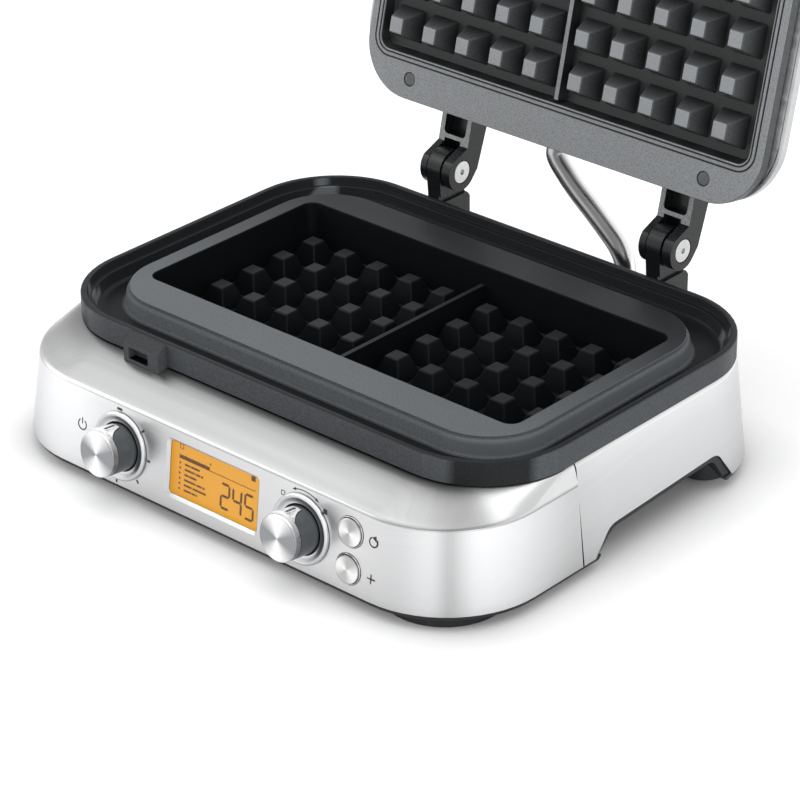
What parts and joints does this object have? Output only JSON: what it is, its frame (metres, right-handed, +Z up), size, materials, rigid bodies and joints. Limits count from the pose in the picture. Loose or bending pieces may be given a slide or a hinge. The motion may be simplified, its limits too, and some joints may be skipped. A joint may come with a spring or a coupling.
{
  "type": "double waffle maker",
  "caption": "Countertop electric waffle maker with a hinged lid, square-pegged plates in a deep moat, knobs, display and buttons on a sloped steel front.",
  "frame": {"origin": "middle of the footprint of the whole object on the table, with the lid open", "axes": "+X to the right along the control panel, +Y to the back where the hinges are, +Z up"},
  "size_m": [0.33, 0.3682, 0.3583],
  "materials": {
    "brushed_steel": "fine straight brushing, satin silver",
    "plate_coating": "dark charcoal non-stick coating with a soft sheen over cast aluminium",
    "lid_plate_coating": "fine speckled grey non-stick coating over cast aluminium",
    "black_plastic": "moulded black with a fine grain",
    "black_satin": "satin black paint over cast metal",
    "spun_silver": "turned silver face with circular marks",
    "bright_steel": "bright polished metal",
    "grip_grey": "dark grey satin plastic",
    "foot_rubber": "matte black rubber",
    "inner_steel": "heat-tinted plain steel",
    "shield_aluminium": "plain mill sheet",
    "insulation_wool": "pressed pale wool fibre",
    "circuit_board": "green board with a dull lacquer",
    "display_glass": "glass over a lit amber display"
  },
  "bodies": {
    "base": {"base_tray": "black_plastic", "browning_control": "black_plastic", "browning_knob_ring": "spun_silver", "conduit_base_gland": "black_plastic", "control_board": "circuit_board", "control_carrier": "black_plastic", "cord_gland": "black_plastic", "display_glass": "display_glass", "display_module": "black_plastic", "foot_front_left": "foot_rubber", "foot_front_right": "foot_rubber", "foot_rear_left": "foot_rubber", "foot_rear_right": "foot_rubber", "front_shell": "brushed_steel", "left_hinge_bracket": "black_satin", "lower_button_ring": "bright_steel", "lower_button_switch": "black_plastic", "lower_element": "inner_steel", "lower_heat_shield": "shield_aluminium", "lower_plate": "plate_coating", "menu_knob_ring": "spun_silver", "menu_switch": "black_plastic", "plate_screw_1": "bright_steel", "plate_screw_2": "bright_steel", "plate_screw_3": "bright_steel", "plate_screw_4": "bright_steel", "power_board": "circuit_board", "rear_shell": "brushed_steel", "right_hinge_bracket": "black_satin", "upper_button_ring": "bright_steel", "upper_button_switch": "black_plastic", "wiring_conduit": "bright_steel"},
    "lid": {"upper_plate": "lid_plate_coating", "upper_element": "inner_steel", "upper_heat_shield": "shield_aluminium", "upper_insulation": "insulation_wool", "lid_frame": "inner_steel", "lid_cover": "brushed_steel", "left_hinge_arm": "black_satin", "right_hinge_arm": "black_satin", "left_hinge_bolt": "bright_steel", "right_hinge_bolt": "bright_steel", "left_handle_bracket": "black_satin", "right_handle_bracket": "black_satin", "handle_bar": "bright_steel", "latch_pin": "bright_steel", "conduit_lid_gland": "black_satin", "stud_front_left": "bright_steel", "stud_front_right": "bright_steel", "stud_rear_left": "bright_steel", "stud_rear_right": "bright_steel"},
    "menu_dial": {"menu_knob": "grip_grey", "menu_knob_cap": "spun_silver"},
    "browning_dial": {"browning_knob": "grip_grey", "browning_knob_cap": "spun_silver"},
    "upper_button": {"upper_button": "spun_silver"},
    "lower_button": {"lower_button": "spun_silver"},
    "latch": {"latch_lever": "black_satin"}
  },
  "joints": [
    {"name": "lid_hinge", "type": "hinge", "parent": "base", "child": "lid", "pos_m": [0, 0.10161, 0.0918], "axis": [1, 0, 0], "range_deg": [0, 103.4], "deforming": ["wiring_conduit"]},
    {"name": "menu_turn", "type": "hinge", "parent": "base", "child": "menu_dial", "pos_m": [-0.0649, -0.16532, 0.02995], "axis": [0, 0.9932, -0.1163], "range_deg": [0, 180]},
    {"name": "browning_turn", "type": "hinge", "parent": "base", "child": "browning_dial", "pos_m": [0.0618, -0.16532, 0.02995], "axis": [0, 0.9932, -0.1163], "range_deg": [-135, 135]},
    {"name": "upper_button_press", "type": "slide", "parent": "base", "child": "upper_button", "axis": [0, 0.9932, -0.1163], "range_m": [0, 0.0012], "stiffness_N_per_m": 1200, "springref_m": -0.0005},
    {"name": "lower_button_press", "type": "slide", "parent": "base", "child": "lower_button", "axis": [0, 0.9932, -0.1163], "range_m": [0, 0.0012], "stiffness_N_per_m": 1200, "springref_m": -0.0005},
    {"name": "latch_swing", "type": "hinge", "parent": "lid", "child": "latch", "pos_m": [-0.0772, 0.15365, 0.32663], "axis": [1, 0, 0], "range_deg": [0, 28]}
  ]
}
